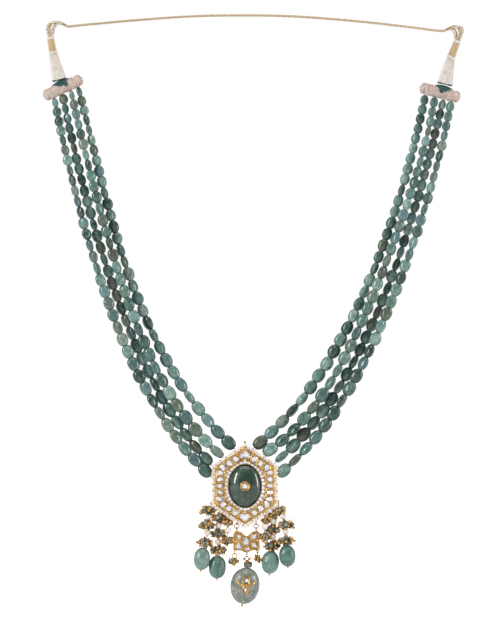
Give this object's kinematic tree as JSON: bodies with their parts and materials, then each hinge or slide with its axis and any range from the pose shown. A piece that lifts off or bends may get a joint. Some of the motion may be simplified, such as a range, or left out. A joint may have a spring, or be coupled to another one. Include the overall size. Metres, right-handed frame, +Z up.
{
  "type": "pendant necklace",
  "caption": "Long necklace: strings of oval green beads between thread-wrapped bars, a corded nape, and a six-sided gold pendant with a hanging plaque, carved drop and side drops.",
  "frame": {"origin": "middle of the neck cord at the nape, where the necklace hangs", "axes": "+Z up, the necklace hangs down from the origin; +X to the right as the front is seen; the front faces -Y"},
  "size_m": [0.2676, 0.0851, 0.3841],
  "materials": {
    "emerald": "polished",
    "gold": "polished",
    "polki": "uncut, bright",
    "pearl": "lustrous",
    "zari_thread": "metallic thread wound close",
    "green_thread": "twisted thread",
    "woven_cord": "braided",
    "gold_thread": "metallic thread"
  },
  "bodies": {
    "necklace": {"neck_cord": "gold_thread", "gold_wrap_left": "gold_thread", "gold_wrap_right": "gold_thread", "woven_taper_left": "woven_cord", "woven_taper_right": "woven_cord", "lashing_left": "green_thread", "lashing_right": "green_thread", "end_bar_left": "zari_thread", "end_bar_right": "zari_thread", "strand_left_1": "emerald", "strand_left_2": "emerald", "strand_left_3": "emerald", "strand_left_4": "emerald", "strand_right_1": "emerald", "strand_right_2": "emerald", "strand_right_3": "emerald", "strand_right_4": "emerald", "thread_left_2": "green_thread", "thread_left_3": "green_thread", "thread_left_4": "green_thread", "thread_right_1": "green_thread", "thread_right_2": "green_thread", "frame": "gold", "frame_polki": "polki", "ring_polki": "polki", "pearl_border": "pearl", "centre_emerald": "emerald", "centre_collet": "gold", "centre_polki": "polki", "wire_a": "gold", "pearls_a": "pearl", "emerald_a": "emerald", "wire_b": "gold", "pearls_b": "pearl", "emerald_b": "emerald", "wire_c": "gold", "pearls_c": "pearl", "wire_d": "gold", "pearls_d": "pearl", "wire_e": "gold", "pearls_e": "pearl", "emerald_e": "emerald", "wire_f": "gold", "pearls_f": "pearl", "emerald_f": "emerald"},
    "plaque": {"plaque": "gold", "plaque_polki": "polki", "ring_left": "gold", "ring_right": "gold", "corner_drop_left": "gold", "corner_drop_right": "gold"},
    "tip_ring": {"tip_ring": "gold"},
    "main_drop": {"bail": "gold", "main_emerald": "emerald", "main_inlay": "gold", "inlay_polki": "polki"}
  },
  "joints": [
    {"name": "plaque_swing", "type": "hinge", "parent": "necklace", "child": "plaque", "pos_m": [0, -0.0754, -0.33015], "axis": [1, 0, 0], "range_deg": [-55, 25]},
    {"name": "tip_swing", "type": "hinge", "parent": "plaque", "child": "tip_ring", "pos_m": [0.0012, -0.0754, -0.3493], "axis": [0, 1, 0], "range_deg": [-10, 10]},
    {"name": "drop_swing", "type": "hinge", "parent": "tip_ring", "child": "main_drop", "pos_m": [0.0012, -0.0754, -0.35102], "axis": [1, 0, 0], "range_deg": [-35, 35]}
  ]
}
